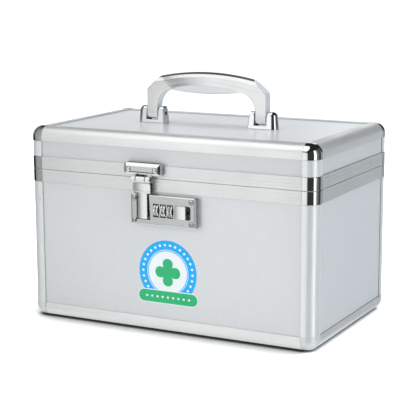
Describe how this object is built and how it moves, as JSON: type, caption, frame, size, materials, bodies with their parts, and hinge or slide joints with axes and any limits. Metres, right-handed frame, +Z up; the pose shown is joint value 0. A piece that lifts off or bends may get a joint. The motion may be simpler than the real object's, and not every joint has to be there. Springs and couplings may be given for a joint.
{
  "type": "medication lock box",
  "caption": "Aluminium-framed medicine box with a hinged lid, a folding carrying handle, and a hasp lock opened with number wheels and a slider.",
  "frame": {"origin": "on the standing face, in the middle of the footprint, hinges and lock included", "axes": "+X to the right along the long side, -Y towards the lock, +Z up"},
  "size_m": [0.3008, 0.196, 0.2376],
  "materials": {
    "edge_aluminium": "satin anodised extrusion",
    "panel_laminate": "silver laminate, matt",
    "corner_chrome": "polished",
    "corner_satin": "satin bright",
    "lining_fabric": "dark felt",
    "hinge_steel": "nickel plated",
    "lock_zinc": "satin silver die casting",
    "lock_chrome": "polished",
    "lock_steel": "plain",
    "handle_silver": "silver satin"
  },
  "bodies": {
    "base": {"base_front_panel": "panel_laminate", "base_back_panel": "panel_laminate", "base_left_panel": "panel_laminate", "base_right_panel": "panel_laminate", "base_bottom_panel": "panel_laminate", "base_post_front_left": "edge_aluminium", "base_post_front_right": "edge_aluminium", "base_post_back_right": "edge_aluminium", "base_post_back_left": "edge_aluminium", "base_bottom_frame": "edge_aluminium", "base_rim_frame": "edge_aluminium", "base_rim_corner_front_left": "corner_chrome", "base_rim_corner_front_right": "corner_chrome", "base_rim_corner_back_right": "corner_chrome", "base_rim_corner_back_left": "corner_chrome", "base_corner_cap_front_left": "corner_satin", "base_corner_cap_front_right": "corner_satin", "base_corner_cap_back_right": "corner_satin", "base_corner_cap_back_left": "corner_satin", "base_lining": "lining_fabric", "hinge_base_leaf_left": "hinge_steel", "hinge_base_leaf_right": "hinge_steel", "hinge_pin_left": "hinge_steel", "hinge_pin_right": "hinge_steel", "lock_housing": "lock_zinc", "lock_back_plate": "lock_steel", "lock_return_spring": "lock_steel"},
    "lid": {"lid_front_panel": "panel_laminate", "lid_back_panel": "panel_laminate", "lid_left_panel": "panel_laminate", "lid_right_panel": "panel_laminate", "lid_top_panel": "panel_laminate", "lid_post_front_left": "edge_aluminium", "lid_post_front_right": "edge_aluminium", "lid_post_back_right": "edge_aluminium", "lid_post_back_left": "edge_aluminium", "lid_top_frame": "edge_aluminium", "lid_rim_frame": "edge_aluminium", "lid_rim_corner_front_left": "corner_chrome", "lid_rim_corner_front_right": "corner_chrome", "lid_rim_corner_back_right": "corner_chrome", "lid_rim_corner_back_left": "corner_chrome", "lid_corner_cap_front_left": "corner_chrome", "lid_corner_cap_front_right": "corner_chrome", "lid_corner_cap_back_right": "corner_chrome", "lid_corner_cap_back_left": "corner_chrome", "lid_lining": "lining_fabric", "hinge_lid_leaf_left": "hinge_steel", "hinge_lid_leaf_right": "hinge_steel", "hasp_plate": "lock_chrome", "hasp_pin": "lock_steel", "handle_bracket_left": "corner_chrome", "handle_bracket_right": "corner_chrome"},
    "handle": {"handle": "handle_silver"},
    "hasp": {"hasp": "lock_chrome"},
    "lock_slider": {"lock_slider": "lock_chrome"},
    "lock_wheel_1": {"lock_wheel_1": "lock_chrome"},
    "lock_wheel_2": {"lock_wheel_2": "lock_chrome"},
    "lock_wheel_3": {"lock_wheel_3": "lock_chrome"}
  },
  "joints": [
    {"name": "lid_hinge", "type": "hinge", "parent": "base", "child": "lid", "pos_m": [0, 0.0951, 0.1463], "axis": [-1, 0, 0], "range_deg": [0, 100]},
    {"name": "handle_pivot", "type": "hinge", "parent": "lid", "child": "handle", "pos_m": [-0.0026, 0.0012, 0.195], "axis": [1, 0, 0], "range_deg": [-90, 90]},
    {"name": "hasp_hinge", "type": "hinge", "parent": "lid", "child": "hasp", "pos_m": [-0.0223, -0.0947, 0.1454], "axis": [-1, 0, 0], "range_deg": [0, 120]},
    {"name": "slider_travel", "type": "slide", "parent": "base", "child": "lock_slider", "axis": [1, 0, 0], "range_m": [0, 0.0042], "stiffness_N_per_m": 300, "springref_m": -0.004, "deforming": ["lock_return_spring"]},
    {"name": "wheel_1_spin", "type": "hinge", "parent": "base", "child": "lock_wheel_1", "pos_m": [-0.007, -0.0906, 0.1175], "axis": [1, 0, 0], "continuous": true},
    {"name": "wheel_2_spin", "type": "hinge", "parent": "base", "child": "lock_wheel_2", "pos_m": [0.0004, -0.0906, 0.1175], "axis": [1, 0, 0], "continuous": true},
    {"name": "wheel_3_spin", "type": "hinge", "parent": "base", "child": "lock_wheel_3", "pos_m": [0.0078, -0.0906, 0.1175], "axis": [1, 0, 0], "continuous": true}
  ]
}
